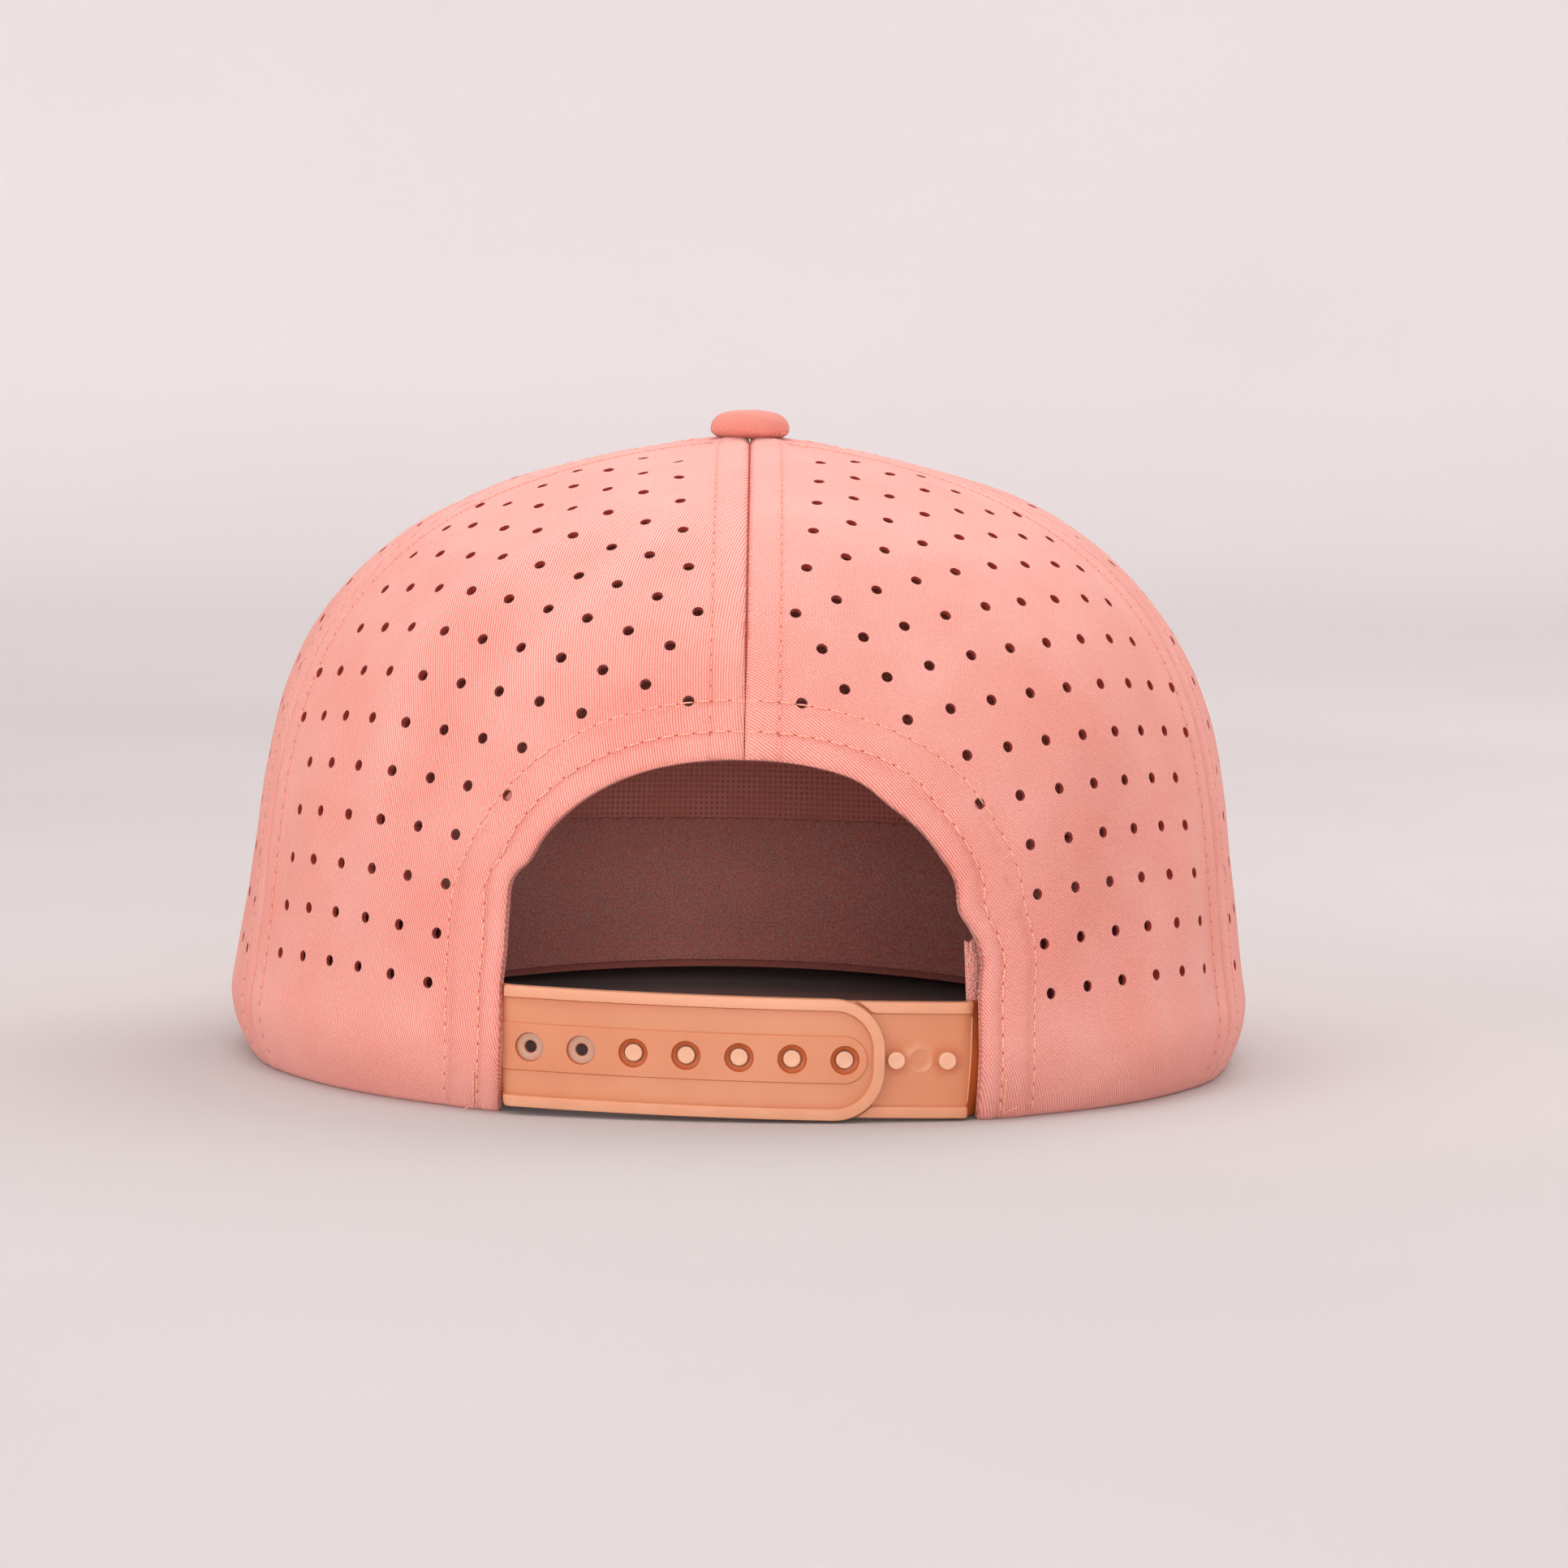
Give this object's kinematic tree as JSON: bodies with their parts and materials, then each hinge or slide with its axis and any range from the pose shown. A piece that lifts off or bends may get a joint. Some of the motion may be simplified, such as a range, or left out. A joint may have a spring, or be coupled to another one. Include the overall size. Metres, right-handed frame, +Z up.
{
  "type": "baseball cap",
  "caption": "Perforated five-panel twill cap with a structured crown, curved visor, covered button and a plastic peg-and-hole snap strap across an arched rear opening.",
  "frame": {"origin": "middle of the cap's box in plan, on the surface that the hem and the visor's sides stand on", "axes": "+Z up through the button, -Y forward towards the visor, +X towards the wearer's left"},
  "size_m": [0.1854, 0.252, 0.1176],
  "materials": {
    "fabric": "matte cotton twill, laser-perforated",
    "tape": "matte woven tape",
    "buckram": "stiff open-weave backing",
    "terry": "soft terry",
    "board": "plain moulded sheet",
    "strap_plastic": "satin translucent moulding",
    "button_fabric": "matte cotton twill",
    "steel": "plated pressing"
  },
  "bodies": {
    "crown": {"back_panel_left": "fabric", "back_panel_right": "fabric", "side_panel_left": "fabric", "side_panel_right": "fabric", "front_panel": "fabric", "front_buckram": "buckram", "seam_tape_back_centre": "tape", "seam_tape_back_left": "tape", "seam_tape_back_right": "tape", "seam_tape_front_left": "tape", "seam_tape_front_right": "tape", "arch_facing": "fabric", "sweatband": "terry", "visor_under_cover": "fabric", "visor_board": "board", "visor_upper_cover": "fabric", "hole_strap_flange": "strap_plastic", "peg_strap_flange": "strap_plastic", "button_cover": "button_fabric", "button_shell": "steel", "button_washer": "steel"},
    "hole_strap": {"hole_strap": "strap_plastic"},
    "peg_strap": {"peg_strap": "strap_plastic"}
  },
  "joints": [
    {"name": "hole_strap_bend", "type": "hinge", "parent": "crown", "child": "hole_strap", "pos_m": [0.03833, 0.11961, 0.01125], "axis": [0, 0, -1], "range_deg": [0, 75], "stiffness_Nm_per_rad": 0.01},
    {"name": "peg_strap_bend", "type": "hinge", "parent": "crown", "child": "peg_strap", "pos_m": [-0.03796, 0.11826, 0.01125], "axis": [0, 0, -1], "range_deg": [0, 30], "stiffness_Nm_per_rad": 0.01}
  ]
}
